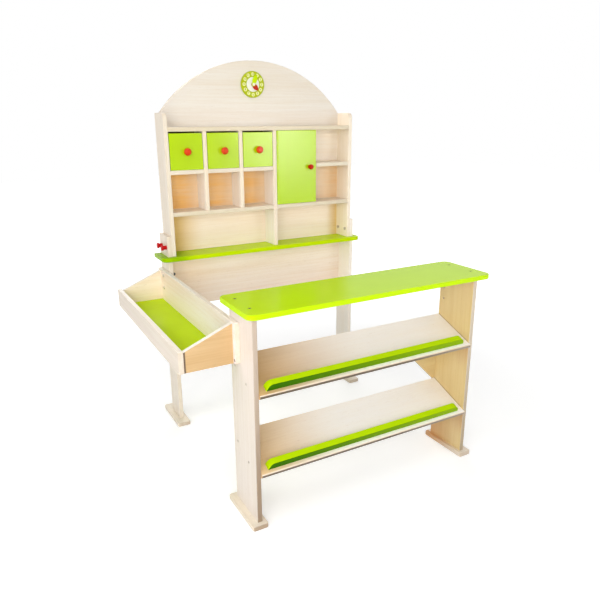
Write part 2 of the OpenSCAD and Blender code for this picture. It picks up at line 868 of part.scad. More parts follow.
// Fasteners, each kind as one group
module post_bolts() {
    placed(steel) for (side = [-1, 1]) at_post_bolts(side) bolt(post_bolt_l(side) - fit_play);
}
module red_pegs() {
    placed(red) at_post_bolts(-1) difference() {
        translate([0, 0, -2 * board_t]) mirror([0, 0, 1]) {
            cylinder(d = peg_neck_d, h = peg_l - e);
            translate([0, 0, peg_l - peg_head_t]) eased_disc(peg_d / 2, peg_head_t);
        }
        bolt_bore(post_bolt_l(-1));
    }
}
module tray_bolts() {
    placed(steel) {
        at_leg_bolts(tray_in, -1) bolt(leg_bolt_l);
        at_apron_bolt() bolt(apron_bolt_l);
        at_end_screw() wood_screw(leg_bolt_l - cut);
    }
}
module barrel_nut() {
    placed(steel) difference() {
        translate([-post_x + barrel_in, back_y + e, tray_z + apron_bolt_up]) rotate([-90, 0, 0])
            cylinder(d = barrel_d, h = board_t - e - cut);
        at_apron_bolt() bolt_bore(apron_bolt_l + fit_play);
    }
}
module top_screws() {
    placed(steel) at_top_screws() wood_screw(screw_l);
}
module shelf_screws() {
    placed(steel) for (z = [upper_z, lower_z]) at_shelf_screws(z) wood_screw(screw_l);
}
module brace_screws() {
    placed(steel) at_brace_screws() wood_screw(screw_l);
}

left_post();
right_post();
back_left_foot();
back_right_foot();
back_board();
apron();
left_panel();
right_panel();
arched_back();
top_shelf();
drawer_shelf();
lower_left_shelf();
lower_right_shelf();
small_shelf();
divider_1();
divider_2();
middle_divider();
cupboard_partition();
drawer_1_front();
drawer_1_walls();
drawer_1_bottom();
drawer_1_knob();
drawer_2_front();
drawer_2_walls();
drawer_2_bottom();
drawer_2_knob();
drawer_3_front();
drawer_3_walls();
drawer_3_bottom();
drawer_3_knob();
door_panel();
door_knob();
door_pins();
clock_dial();
clock_pin();
hour_hand();
minute_hand();
left_leg();
right_leg();
counter_left_foot();
counter_right_foot();
counter_top();
upper_shelf();
lower_shelf();
upper_lip();
lower_lip();
corner_brace();
tray_tall_panel();
tray_low_panel();
tray_back_end();
tray_front_end();
tray_floor();
post_bolts();
red_pegs();
tray_bolts();
barrel_nut();
top_screws();
shelf_screws();
brace_screws();
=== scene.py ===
"""Looks of the toy market stall: procedural wood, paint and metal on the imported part, a camera and soft studio light.

Lengths are metres in the frame of the CAD model. Colours are linear.
"""
import math

import bmesh
import bpy
from mathutils import Matrix, Vector


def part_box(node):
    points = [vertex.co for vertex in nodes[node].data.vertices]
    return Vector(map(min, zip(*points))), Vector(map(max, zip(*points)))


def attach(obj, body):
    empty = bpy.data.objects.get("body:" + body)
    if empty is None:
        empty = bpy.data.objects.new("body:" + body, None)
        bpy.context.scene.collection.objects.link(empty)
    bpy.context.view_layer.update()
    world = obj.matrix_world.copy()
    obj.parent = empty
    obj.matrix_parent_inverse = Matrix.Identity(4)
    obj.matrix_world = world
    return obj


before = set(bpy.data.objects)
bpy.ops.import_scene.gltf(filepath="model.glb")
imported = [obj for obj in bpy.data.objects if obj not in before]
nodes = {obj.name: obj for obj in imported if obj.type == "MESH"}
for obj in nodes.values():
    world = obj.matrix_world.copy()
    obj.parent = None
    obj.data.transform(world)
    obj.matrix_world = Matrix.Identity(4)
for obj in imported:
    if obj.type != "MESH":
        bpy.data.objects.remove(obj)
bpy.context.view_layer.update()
scene = bpy.context.scene
scene.view_settings.view_transform = "Standard"

AXES = {"x": 0, "y": 1, "z": 2}
SLOPE = math.radians(21.5)  # of the counter's two display shelves
SHELF_THICK = 0.012


def rgb(r, g, b):
    return (r, g, b, 1.0)


def tinted(colour, shares):
    """A colour with each channel times its share."""
    return rgb(*[c * k for c, k in zip(colour[:3], shares)])


# Wood tones. A pair is a board's pale tone and the darker tone of its grain. Some pairs are lighter and darker copies
# of the birch that are painted light and painted shade, as noted at each.

PALE, TAN = BIRCH = rgb(0.86, 0.785, 0.685), rgb(0.77, 0.670, 0.540)
# STRAW and STRAW_PAIR are partly the wood's own warmer tone and partly painted shade: a darker, yellower copy of the
# birch for the right leg's inner face and the corner brace, which sit in the counter's shade.
CREAM, STRAW = rgb(0.91, 0.81, 0.68), rgb(0.80, 0.63, 0.32)
CREAM_PAIR = CREAM, rgb(0.84, 0.71, 0.55)
STRAW_PAIR = STRAW, rgb(0.71, 0.52, 0.24)
# AMBER_PAIR is painted shade: a darker, warmer copy of the birch for the tray's front end, which stands in shade.
AMBER_PAIR = rgb(0.66, 0.455, 0.232), rgb(0.54, 0.335, 0.14)
# SNOW_PAIR is painted light: a nearly white copy of the birch for the two display shelves, which stands for the light
# on them.
SNOW_PAIR = rgb(0.99, 0.970, 0.955), rgb(0.965, 0.925, 0.885)
# RIGHT_POST and RIGHT_PANEL are painted light: brighter copies of the birch for the right post and the right side
# panel, which get less light than the rest.
RIGHT_POST = rgb(0.995, 0.94, 0.86), rgb(0.985, 0.90, 0.795)
RIGHT_PANEL = rgb(0.97, 0.885, 0.76), rgb(0.91, 0.79, 0.63)
LEFT_LEG = rgb(0.82, 0.75, 0.70), rgb(0.745, 0.66, 0.575)
# LOW_PANEL is painted shade: a darker copy of the birch for the tray's low panel.
LOW_PANEL = rgb(0.76, 0.68, 0.585), rgb(0.675, 0.58, 0.465)

# Tones of places on a board. Most of them are painted shade, painted shadow and painted light, as noted at each.

# GOLD is painted shade: the warm shade on the back panel inside the small cubbies.
GOLD = rgb(0.87, 0.49, 0.135)
# MILK is painted light: the lighter left faces of the dividers and a painted highlight on the top edges of the tray's
# panels.
MILK = rgb(0.975, 0.955, 0.93)
# PEARL is painted light: the paler front part of the tray's tall panel on its inner face.
PEARL = rgb(0.995, 0.925, 0.95)
# ROSE is painted light: a brighter, pinker tone on the apron's front face.
ROSE = rgb(0.985, 0.855, 0.765)
# BLUSH is painted light: a lighter, warmer tone in the low bays of the back panel and on the tray's inner faces.
BLUSH = rgb(0.97, 0.845, 0.755)
# BROWN is partly the darker end grain and partly painted shade, on the front end of the counter's left foot.
BROWN = rgb(0.40, 0.31, 0.23)
# SHADE and UMBER are the painted shadow that the left leg casts on the left ends of the lower and upper display
# shelves.
SHADE = rgb(0.80, 0.565, 0.30)
UMBER = rgb(0.68, 0.45, 0.21)
# PEACH is painted light: brighter still at the apron's left end.
PEACH = rgb(0.99, 0.80, 0.65)
# OCHRE is painted shadow at the outer ends of the low bays, by the side panels.
OCHRE = rgb(0.75, 0.48, 0.10)
# DUSK is painted shade and painted shadow: in the bays behind the drawer fronts, along the sloping shelves' upper sides
# on the right leg, and the shadow line at the left end of the tray's front end.
DUSK = rgb(0.15, 0.10, 0.065)
# Painted shade on the lower half of the display shelves' front edges.
NOSE_SHADE = rgb(0.075, 0.05, 0.03)
# Painted shade: a darker tone of the wood on the arch above the top shelf, where the lamps fall strongest.
ARCH_SHADE = rgb(0.80, 0.755, 0.695)
# PETAL is painted light: a lighter tone on the back panel in the right cubby, above the small shelf.
PETAL = rgb(0.95, 0.865, 0.765)
HONEY = rgb(0.79, 0.73, 0.595)
# Painted shadow on the right leg's inner face just below each sloping shelf.
SHELF_SHADOW = rgb(0.66, 0.42, 0.21)
# EMBER is painted shade: on the right leg's inner face low down under the lower shelf, and on the strip of the right
# foot beside the leg, under the counter.
EMBER = rgb(0.67, 0.36, 0.15)
SAND = rgb(0.70, 0.62, 0.53)
# EDGE_PALE, EDGE_DARK, RIM_PALE and RIM_DARK are the front-edge tones of the left and right legs: partly the plies'
# darker end grain and partly painted shade, the darker one of each pair painted shade low down.
EDGE_PALE, EDGE_DARK = rgb(0.52, 0.46, 0.42), rgb(0.23, 0.17, 0.12)
RIM_PALE, RIM_DARK = rgb(0.66, 0.61, 0.52), rgb(0.45, 0.38, 0.27)

# Node graphs are built through one small helper, so that each material reads as a recipe


class Graph:
    """A shader tree with short calls for the nodes used here. A value may be a number, a colour or a node's socket."""

    def __init__(self, tree):
        self.tree = tree
        tree.nodes.clear()

    def put(self, kind, output=None, settings=None, **inputs):
        """Add a node. An input has its name, with _ for a blank, or its place, as i0 or i1."""
        node = self.tree.nodes.new(kind)
        for key, value in (settings or {}).items():
            setattr(node, key, value)
        for key, value in inputs.items():
            by_place = key[0] == "i" and key[1:].isdigit()
            self.feed(node.inputs[int(key[1:]) if by_place else key.replace("_", " ")], value)
        return node if output is None else node.outputs[output]

    def feed(self, socket, value):
        if isinstance(value, bpy.types.NodeSocket):
            self.tree.links.new(value, socket)
        else:
            socket.default_value = value

    def math(self, op, a, b=0.0, c=0.0):
        return self.put("ShaderNodeMath", 0, {"operation": op}, i0=a, i1=b, i2=c)

    def times(self, product, *factors):
        for factor in factors:
            product = self.math("MULTIPLY", product, factor)
        return product

    def length(self, a, b):
        return self.math("SQRT", self.math("ADD", self.times(a, a), self.times(b, b)))

    def step(self, value, low, high, to_low=0.0, to_high=1.0):
        """A smooth passage from to_low to to_high, as the value passes from low to high."""
        return self.put("ShaderNodeMapRange", 0, {"interpolation_type": "SMOOTHSTEP"},
                        Value=value, From_Min=low, From_Max=high, To_Min=to_low, To_Max=to_high)

    def mix(self, share, a, b):
        node = self.tree.nodes.new("ShaderNodeMix")
        node.data_type = "RGBA"
        for place, value in ((0, share), (6, a), (7, b)):
            self.feed(node.inputs[place], value)
        return node.outputs[2]

    def noise(self, vector, scale, detail=3.0, rough=0.5, distort=0.0):
        return self.put("ShaderNodeTexNoise", 0, Vector=vector, Scale=scale, Detail=detail,
                        Roughness=rough, Distortion=distort)

    def stretch(self, vector, scale, turn=(0, 0, 0), shift=(0, 0, 0)):
        return self.put("ShaderNodeMapping", 0, Vector=vector, Scale=scale, Rotation=turn, Location=shift)

    def tilt(self, vector, angle):
        """A vector turned about X."""
        return self.stretch(vector, (1, 1, 1), (angle, 0, 0))

    def parts(self, vector):
        return self.put("ShaderNodeSeparateXYZ", i0=vector).outputs

    def edges(self, normal):
        """1 on the eased edges, which face between two axes, and 0 on the flat faces."""
        x, y, z = self.parts(self.put("ShaderNodeVectorMath", 0, {"operation": "ABSOLUTE"}, i0=normal))
        return self.step(self.math("MAXIMUM", self.math("MAXIMUM", x, y), z), 0.93, 0.78)


def material(name):
    m = bpy.data.materials.new(name)
    m.use_nodes = True
    return m, Graph(m.node_tree)


def surface_coords(g):
    """The object's own coordinates and normal, which are those of the CAD frame."""
    coords = g.put("ShaderNodeTexCoord")
    return coords.outputs["Object"], coords.outputs["Normal"]


def shade(g, **inputs):
    """The surface shader and its output. Constants go straight onto the shader's sockets."""
    shader = g.put("ShaderNodeBsdfPrincipled", **inputs)
    g.put("ShaderNodeOutputMaterial", Surface=shader.outputs[0])


# Wood grain: each pattern's size along the grain and across it, and the share of its tone
BROAD, BROAD_SHARE = (0.55, 0.050), 0.55
STREAK, STREAK_SHARE = (0.22, 0.0055), 0.45
PORE, PORE_SHARE, PORE_TONE = (0.020, 0.0007), 0.16, rgb(0.46, 0.30, 0.17)
FLECK, FLECK_SHARE, FLECK_TONE = (0.012, 0.0016), 0.30, rgb(0.42, 0.26, 0.14)
ZONE_TAN = (0.90, 0.83, 0.73)  # the darker tone of a zone, as shares of its pale tone
PLY_PITCH = 0.00267
PLY_DARK, PLY_PALE = (rgb(0.60, 0.43, 0.27), rgb(0.52, 0.36, 0.22)), rgb(0.72, 0.56, 0.38)
WORN_SHARE, WORN_TONE = 0.35, rgb(0.62, 0.47, 0.31)
PLAIN_CUT, BROWN_CUT = 0.10, 0.3  # how brown a board's cut edges are


def wood(name, grain, thick, seed, tones=BIRCH, tilt=0.0, figure=1.0, edge=PLAIN_CUT, zones=()):
    """Plywood with a clear satin lacquer. grain and thick are the board's grain and thickness axes, tones its pale and
    darker tone, tilt turns its axes about X, figure is the strength of the grain, edge is how brown its cut edges are,
    and zones are (tone, mask) for places of another tone, most of them painted shade and painted light."""
    m, g = material(name)
    place, normal = surface_coords(g)
    if tilt:
        place, normal = g.tilt(place, tilt), g.tilt(normal, tilt)

    def pattern(size, shift, *noise):
        scale = tuple(1 / size[0] if i == AXES[grain] else 1 / size[1] for i in range(3))
        return g.noise(g.stretch(place, scale, shift=tuple(seed * k for k in shift)), 1.0, *noise)

    broad = pattern(BROAD, (1, 0.7, 1.3), 3.0, 0.5, 0.6)
    streak = pattern(STREAK, (2, 1, 1), 4.0, 0.6, 0.3)
    pore = pattern(PORE, (1, 1, 1), 2.0, 0.6)
    fleck = g.step(pattern(FLECK, (1, 3, 1), 1.0, 0.4), 0.70, 0.80)
    tone = g.math("ADD", g.times(g.step(broad, 0.30, 0.72), BROAD_SHARE * figure),
                  g.times(g.step(streak, 0.32, 0.72), STREAK_SHARE * figure))
    pale, tan = tones
    for colour, mask in zones:
        share = mask(g, place, normal)
        pale = g.mix(share, pale, colour)
        tan = g.mix(share, tan, tinted(colour, ZONE_TAN))
    base = g.mix(tone, pale, tan)
    base = g.mix(g.times(g.step(pore, 0.56, 0.74), PORE_SHARE), base, PORE_TONE)
    base = g.mix(g.times(fleck, FLECK_SHARE), base, FLECK_TONE)
    # The cut edges show the plies as thin stripes, a little browner than the face
    across = g.parts(place)[AXES[thick]]
    cut = g.step(g.math("ABSOLUTE", g.parts(normal)[AXES[thick]]), 0.55, 0.25)
    ply = g.step(g.math("SINE", g.times(across, 2 * math.pi / PLY_PITCH)), -0.35, 0.35)
    side = g.mix(ply, g.mix(tone, *PLY_DARK), g.mix(0.45, base, PLY_PALE))
    base = g.mix(g.times(cut, edge), base, side)
    worn = g.times(g.edges(normal), g.step(g.noise(place, 55.0, 4.0, 0.6), 0.42, 0.62))
    base = g.mix(g.times(worn, WORN_SHARE), base, WORN_TONE)
    rough = g.math("ADD", g.times(streak, 0.16), g.math("MULTIPLY_ADD", worn, 0.12, 0.36))
    height = g.math("ADD", g.times(streak, 0.5), g.times(pore, -0.35))
    bump = g.put("ShaderNodeBump", 0, Strength=0.22, Distance=0.0004, Height=height)
    shade(g, Base_Color=base, Roughness=rough, Normal=bump, IOR=1.48, Coat_Weight=0.06, Coat_Roughness=0.25)
    return m


PAINT_CLOUD, PAINT_GRAIN = (0.93, 0.94, 0.9), (0.80, 0.80, 0.80)  # as shares of the paint's colour
CHIP_GREEN, CHIP_RED, CHIP_DARK = rgb(0.62, 0.50, 0.30), rgb(0.70, 0.42, 0.26), rgb(0.45, 0.20, 0.12)


def paint(name, colour, rough, shine, seed=0.0, chip=CHIP_GREEN, extra=None):
    """Gloss paint on wood: slight orange peel, uneven gloss, rubbed edges in the chip tone and faint grain. shine is
    the specular level, and extra changes the colour in places."""
    m, g = material(name)
    place, normal = surface_coords(g)
    cloud = g.noise(place, 9.0 + seed, 3.0, 0.5)
    grain = g.noise(g.stretch(place, (6.0, 130.0, 130.0), shift=(seed, 0, 0)), 1.0, 3.0, 0.6)
    peel = g.noise(place, 420.0, 2.0, 0.5)
    base = g.mix(g.times(g.step(cloud, 0.35, 0.70), 0.6), colour, tinted(colour, PAINT_CLOUD))
    base = g.mix(g.times(g.step(grain, 0.52, 0.75), 0.10), base, tinted(colour, PAINT_GRAIN))
    if extra:
        base = extra(g, place, normal, base)
    rubbed = g.times(g.edges(normal), g.step(g.noise(place, 38.0 + seed, 5.0, 0.65), 0.60, 0.70))
    base = g.mix(g.times(rubbed, 0.45), base, chip)
    gloss = g.math("ADD", g.math("MULTIPLY_ADD", cloud, 0.10, rough - 0.05), g.times(rubbed, 0.20))
    height = g.math("ADD", g.times(peel, 0.35), g.times(grain, 0.5))
    bump = g.put("ShaderNodeBump", 0, Strength=0.10, Distance=0.0003, Height=height)
    shade(g, Base_Color=base, Roughness=gloss, Normal=bump, IOR=1.5, Specular_IOR_Level=shine)
    return m


def metal(name, bright, dark):
    """Steel with a fine turned finish and faint stains."""
    m, g = material(name)
    place = surface_coords(g)[0]
    fine = g.noise(place, 900.0, 3.0, 0.6)
    stain = g.noise(place, 120.0, 3.0, 0.5)
    base = g.mix(g.step(stain, 0.40, 0.70), bright, dark)
    rough = g.math("MULTIPLY_ADD", fine, 0.22, 0.30)
    bump = g.put("ShaderNodeBump", 0, Strength=0.15, Distance=0.0002, Height=fine)
    shade(g, Base_Color=base, Roughness=rough, Normal=bump, Metallic=1.0)
    return m


# Masks of places on a board, each a function of the graph, the place and the normal. Their tones follow the photograph.
# Most of them mark painted shade, painted shadow and painted light, as noted at each.


def facing(axis, start, full):
    """Faces by their normal's part along an axis, with nothing at start and all at full."""
    def mask(g, place, normal):
        return g.step(g.parts(normal)[AXES[axis]], start, full)
    return mask


def along(axis, start, full, least=0.0, most=1.0):
    """A passage along an axis, with least at start and most at full."""
    def mask(g, place, normal):
        return g.step(g.parts(place)[AXES[axis]], start, full, least, most)
    return mask


def both(*masks):
    """The places that lie in each of the masks."""
    def mask(g, place, normal):
        return g.times(*[m(g, place, normal) for m in masks])
    return mask


def turned(*masks):
    """Masks in the frame that is turned with the sloping shelves."""
    def mask(g, place, normal):
        return both(*masks)(g, g.tilt(place, -SLOPE), normal)
    return mask


front_face = facing("y", -0.5, -0.85)
left_face = facing("x", -0.6, -0.9)
# top_edge: the top edges of the tray's panels, which get a painted highlight.
top_edge = facing("z", 0.45, 0.70)

# Heights and widths on the back panel, each as start and full of a passage
TOP_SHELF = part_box("top_shelf")[1].z
ABOVE_TOP_SHELF = TOP_SHELF - 0.008, TOP_SHELF - 0.004
LEFT_OF_CUPBOARD, RIGHT_OF_CUPBOARD = (0.100, 0.090), (0.095, 0.100)
BELOW_SMALL_SHELF = 0.800, 0.775
BELOW_DRAWER_TOPS = 0.890, 0.880
ABOVE_BAYS, IN_BAYS = (0.662, 0.668), (0.664, 0.658)
RIGHT_CUBBY_SHARE = 0.66


def cubby_zone(g, place, normal):
    """Painted shade on the back panel behind the small cubbies, where each cubby's side shades it. It fades towards the
    right in each left one, and the other way round in the right one."""
    x, y, z = g.parts(place)
    left = g.times(g.step(x, *LEFT_OF_CUPBOARD), g.step(z, *BELOW_DRAWER_TOPS))
    low = g.times(g.step(z, *BELOW_SMALL_SHELF), RIGHT_CUBBY_SHARE)
    share = g.times(g.step(z, *ABOVE_BAYS), g.math("MAXIMUM", left, low))
    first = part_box("divider_1")[1].x
    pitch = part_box("divider_2")[1].x - first
    across = g.math("WRAP", g.math("DIVIDE", g.math("SUBTRACT", x, first), pitch), 1.0, 0.0)
    left_fade = g.step(across, 0.38, 0.98, 1.0, 0.48)
    right_fade = g.step(x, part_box("cupboard_partition")[1].x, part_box("right_panel")[0].x, 0.45, 1.0)
    fade = g.mix(g.step(x, *RIGHT_OF_CUPBOARD), left_fade, right_fade)
    streak = g.noise(g.stretch(place, (7.0, 1.0, 60.0)), 1.0, 3.0, 0.6, 0.8)
    return g.times(share, fade, g.step(streak, 0.32, 0.66, 1.0, 0.80), front_face(g, place, normal))


def bay_ends(g, place, normal):
    """Painted shadow at the outer ends of the low bays, by the side panels."""
    left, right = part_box("left_panel")[1].x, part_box("right_panel")[0].x
    x = g.parts(place)[0]
    return g.math("MAXIMUM", g.step(x, left + 0.12, left), g.step(x, right - 0.045, right, 0.0, 0.75))


drawers_low, drawers_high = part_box("drawer_1_front")[0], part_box("drawer_3_front")[1]
# arch_zone: painted shade on the arch above the top shelf.
arch_zone = both(along("z", *ABOVE_TOP_SHELF), front_face)
# right_zone: painted light on the back panel in the right cubby.
right_zone = both(along("x", *RIGHT_OF_CUPBOARD), along("z", *BELOW_SMALL_SHELF[::-1]),
                  along("z", *ABOVE_TOP_SHELF[::-1]), front_face)
# drawer_zone: painted shade on the back panel in the bays behind the drawer fronts.
drawer_zone = both(along("x", drawers_high.x + 0.003, drawers_high.x), along("z", drawers_low.z - 0.003, drawers_low.z),
                   along("z", drawers_high.z + 0.006, drawers_high.z + 0.004), front_face)
# bay_zone: painted light on the back panel in the low bays.
bay_zone = both(along("z", *IN_BAYS), front_face)
# apron_end: painted light at the left end of the apron's front face.
apron_end = both(along("x", -0.06, -0.22), front_face)
# tall_front: painted light on the tall panel's inner face, fading towards the back.
tall_front = both(along("y", 0.24, -0.16), left_face)
# tray_end_line: a painted shadow line on the tray's front end, where the low panel's end shades it.
tray_end_line = both(along("x", -0.3865, -0.3885), facing("y", -0.6, -0.9))
# foot_strip: painted shade on the strip of the right foot beside the leg.
foot_strip = both(along("x", 0.3725, 0.3715), along("y", -0.335, -0.220))
# leg_low_inside: painted shade on the right leg's inner face under the lower shelf.
leg_low_inside = both(along("z", 0.19, 0.12), along("y", -0.34, -0.18), left_face)
# leg_low_front: painted shade on a leg's front edge, darker towards the bottom.
leg_low_front = both(along("z", 0.47, 0.0), front_face)
nose_front = facing("y", -0.25, -0.50)
# The left ends of the display shelves, for the left leg's painted shadow.
upper_left_end, lower_left_end = along("x", 0.10, -0.27), along("x", 0.03, -0.29)


def slope_low(node):
    """The height of a sloping shelf's underside, in the frame that is turned with the shelf."""
    turn = Matrix.Rotation(-SLOPE, 3, "X")
    return min((turn @ v.co).z for v in nodes[node].data.vertices)


def nose_line(node):
    """Painted shade on the lower half of a sloping shelf's front edge, less towards the right."""
    low = slope_low(node)
    return both(nose_front, along("z", low + 0.0106, low + 0.0092), along("x", 0.12, 0.37, 1.0, 0.72))


def under_shelf(node, most):
    """Painted shadow on the right leg's inner face just below a sloping shelf."""
    low = slope_low(node)
    return both(turned(along("z", low - 0.085, low, 0.0, most), along("z", low + 0.006, low + 0.002)), left_face)


def joint_line(node):
    """Painted shade: a thin dark line on the right leg's inner face, along the upper side of a sloping shelf."""
    top = slope_low(node) + SHELF_THICK
    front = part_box(node)[0].y + 0.012
    line = turned(along("z", top + 0.0035, top + 0.0010, 0.0, 0.42), along("z", top - 0.004, top - 0.002))
    return both(line, along("y", front, front + 0.010), left_face)


# Places of another tone on a painted piece: print on the dial, bare wood under the counter top, and painted shade on
# the lips' fronts and the green board's left end.

CLOCK = (0.051, 0.3075, 1.022)
NUMBER_RING = 0.0292
DISC_EDGE, DISC_TONE = (0.0213, 0.0207), rgb(0.84, 0.85, 0.76)
SPOT_EDGE, SPOT_TONE = (0.0056, 0.0048), rgb(0.86, 0.90, 0.36)
HOUR = math.pi / 6


def patch(mask, tone):
    """A paint's extra: another tone in a mask."""
    def extra(g, place, normal, base):
        return g.mix(mask(g, place, normal), base, tone)
    return extra


def dial_face(g, place, normal, base):
    """A plain pale disc in the middle of the dial and a small one under each number, on its front face only."""
    x, y, z = g.parts(place)
    dx, dz = g.math("SUBTRACT", x, CLOCK[0]), g.math("SUBTRACT", z, CLOCK[2])
    radius = g.length(dx, dz)
    front = g.step(g.parts(normal)[1], -0.85, -0.95)
    turn = g.times(g.math("WRAP", g.math("DIVIDE", g.math("ARCTAN2", dx, dz), HOUR), 0.5, -0.5), HOUR)
    out = g.math("SUBTRACT", g.times(radius, g.math("COSINE", turn)), NUMBER_RING)
    aside = g.times(radius, g.math("SINE", turn))
    base = g.mix(g.times(g.step(g.length(out, aside), *SPOT_EDGE), front), base, SPOT_TONE)
    return g.mix(g.times(g.step(radius, *DISC_EDGE), front), base, DISC_TONE)


def bare_under(g, place, normal, base):
    """The underside of the counter top is bare wood."""
    grain = g.noise(g.stretch(place, (4.0, 150.0, 150.0)), 1.0, 4.0, 0.6)
    return g.mix(g.step(g.parts(normal)[2], -0.80, -0.95), base, g.mix(g.step(grain, 0.3, 0.7), PALE, TAN))


# lip_front and deep_front: painted shade on the lips' front faces, which lean towards the floor, less towards the
# right.
lip_front = both(facing("y", -0.80, -0.90), along("x", -0.30, 0.45, 1.0, 0.45))
deep_front = patch(lip_front, rgb(0.024, 0.135, 0.0))
# deep_end: painted shadow of the left panel on the green board's left end.
board_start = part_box("left_panel")[1].x
deep_end = patch(along("x", board_start + 0.06, board_start), rgb(0.30, 0.52, 0.0))

# Each node's material

looks = {}


def dress(look, *names):
    for name in names:
        looks[name] = look


dress(wood("wood_post_left", "z", "x", 1.1), "left_post")
# Painted light: the right post's brighter tone.
dress(wood("wood_post_right", "z", "x", 2.3, RIGHT_POST), "right_post")
dress(wood("wood_foot", "y", "z", 3.7, edge=BROWN_CUT, zones=((SAND, front_face),)),
      "back_left_foot", "back_right_foot")
# The counter's left foot: painted shade on its front end.
dress(wood("wood_foot_left", "y", "z", 4.0, edge=BROWN_CUT, zones=((BROWN, front_face),)), "counter_left_foot")
# Painted shade on the right foot's strip beside the leg.
dress(wood("wood_foot_right", "y", "z", 4.4, edge=BROWN_CUT, zones=((EMBER, foot_strip), (SAND, front_face))),
      "counter_right_foot")
# The apron's front face is painted light, most at its left end.
dress(wood("wood_apron", "x", "y", 5.2, zones=((ROSE, front_face), (PEACH, apron_end))), "apron")
dress(wood("wood_panel_left", "z", "x", 6.1), "left_panel")
# Painted light: the right panel's brighter tone.
dress(wood("wood_panel_right", "z", "x", 7.9, RIGHT_PANEL), "right_panel")
# The back panel's zones are painted shade and painted light: warm shade in the cubbies, a darker arch, a lighter right
# cubby, shade behind the drawers, lighter low bays and shadow at their ends.
dress(wood("wood_back", "x", "y", 8.4, figure=0.8, zones=(
    (GOLD, cubby_zone), (ARCH_SHADE, arch_zone), (PETAL, right_zone), (DUSK, drawer_zone), (BLUSH, bay_zone),
    (OCHRE, both(bay_ends, bay_zone)))), "arched_back")
dress(wood("wood_shelf", "x", "z", 9.6, zones=((HONEY, front_face),)),
      "top_shelf", "lower_left_shelf", "lower_right_shelf", "small_shelf")
dress(wood("wood_shelf_inner", "x", "z", 10.2), "drawer_shelf")
# The dividers' left faces get painted light.
dress(wood("wood_divider", "z", "x", 11.5, CREAM_PAIR, zones=((MILK, left_face),)),
      "divider_1", "divider_2", "middle_divider", "cupboard_partition")
# The left leg's front edge: partly end grain, partly painted shade, darker towards the bottom.
dress(wood("wood_leg_left", "z", "x", 12.3, LEFT_LEG, edge=BROWN_CUT, zones=(
    (EDGE_PALE, front_face), (EDGE_DARK, leg_low_front))), "left_leg")
# The right leg's inner face is painted shade: darker and yellower all over, most under the sloping shelves and low
# down, with a thin dark painted line along each shelf's upper side.
dress(wood("wood_leg_right", "z", "x", 13.8, edge=BROWN_CUT, zones=(
    (STRAW, left_face), (EMBER, leg_low_inside),
    (SHELF_SHADOW, under_shelf("upper_shelf", 0.75)), (SHELF_SHADOW, under_shelf("lower_shelf", 1.0)),
    (DUSK, joint_line("upper_shelf")), (DUSK, joint_line("lower_shelf")),
    (RIM_PALE, front_face), (RIM_DARK, leg_low_front))), "right_leg")
# The display shelves: painted light all over, the left leg's painted shadow at their left ends, and painted shade on
# the lower half of each front edge.
dress(wood("wood_display_upper", "x", "z", 14.6, SNOW_PAIR, tilt=-SLOPE, zones=(
    (UMBER, upper_left_end), (CREAM, nose_front), (NOSE_SHADE, nose_line("upper_shelf")))), "upper_shelf")
dress(wood("wood_display_lower", "x", "z", 15.9, SNOW_PAIR, tilt=-SLOPE, zones=(
    (SHADE, lower_left_end), (CREAM, nose_front), (NOSE_SHADE, nose_line("lower_shelf")))), "lower_shelf")
# The brace's tone is partly the wood's own and partly painted shade.
dress(wood("wood_brace", "x", "y", 16.4, STRAW_PAIR), "corner_brace")
# The tall panel: painted light on its inner face, more at the front, and a painted highlight on its top edge.
dress(wood("wood_tray_tall", "y", "x", 17.7, zones=(
    (BLUSH, left_face), (PEARL, tall_front), (MILK, top_edge))), "tray_tall_panel")
# The low panel: painted shade all over, with a painted highlight on its top edge.
dress(wood("wood_tray_low", "y", "x", 17.1, LOW_PANEL, zones=((MILK, top_edge),)), "tray_low_panel")
# The tray's back end: painted light on its inner face and a painted highlight on its top edge.
dress(wood("wood_tray_back", "x", "y", 18.9, zones=((BLUSH, front_face), (MILK, top_edge))), "tray_back_end")
# The tray's front end is painted shade all over, with a darker painted shadow line at its left end and a painted
# highlight on its top edge.
dress(wood("wood_tray_front", "x", "y", 18.2, AMBER_PAIR, zones=((DUSK, tray_end_line), (MILK, top_edge))),
      "tray_front_end")
dress(wood("wood_drawer", "y", "z", 19.0),
      *[f"drawer_{k}_{piece}" for k in (1, 2, 3) for piece in ("walls", "bottom")])
dress(wood("wood_pin", "y", "x", 20.5), "clock_pin")

# The greens are one lime paint in lighter and darker copies: lighter on the counter top and the boards, darker on the
# drawer fronts and the door. The differences between them are painted light and painted shade.
LIME_BOARD = rgb(0.56, 0.78, 0.0)
zinc = metal("zinc_steel", rgb(0.68, 0.63, 0.58), rgb(0.54, 0.48, 0.42))
dress(paint("lime_paint", rgb(0.465, 0.69, 0.0), 0.20, 0.44),
      "drawer_1_front", "drawer_2_front", "drawer_3_front", "door_panel")
dress(paint("lime_board", LIME_BOARD, 0.22, 0.03, 6.0), "tray_floor", "minute_hand")
dress(paint("lime_back", LIME_BOARD, 0.22, 0.03, 6.0, extra=deep_end), "back_board")
dress(paint("lime_counter", rgb(0.56, 0.85, 0.0), 0.20, 0.10, 1.0, extra=bare_under), "counter_top")
dress(paint("lime_lip", rgb(0.50, 0.765, 0.002), 0.30, 0.03, 3.0, extra=deep_front), "upper_lip", "lower_lip")
dress(paint("lime_dial", rgb(0.42, 0.49, 0.004), 0.30, 0.04, 7.0, extra=dial_face), "clock_dial")
dress(paint("red_paint", rgb(0.71, 0.047, 0.003), 0.24, 0.26, 4.0, CHIP_RED),
      "drawer_1_knob", "drawer_2_knob", "drawer_3_knob")
dress(paint("red_deep", rgb(0.50, 0.018, 0.002), 0.26, 0.05, 5.0, CHIP_DARK), "door_knob", "hour_hand")
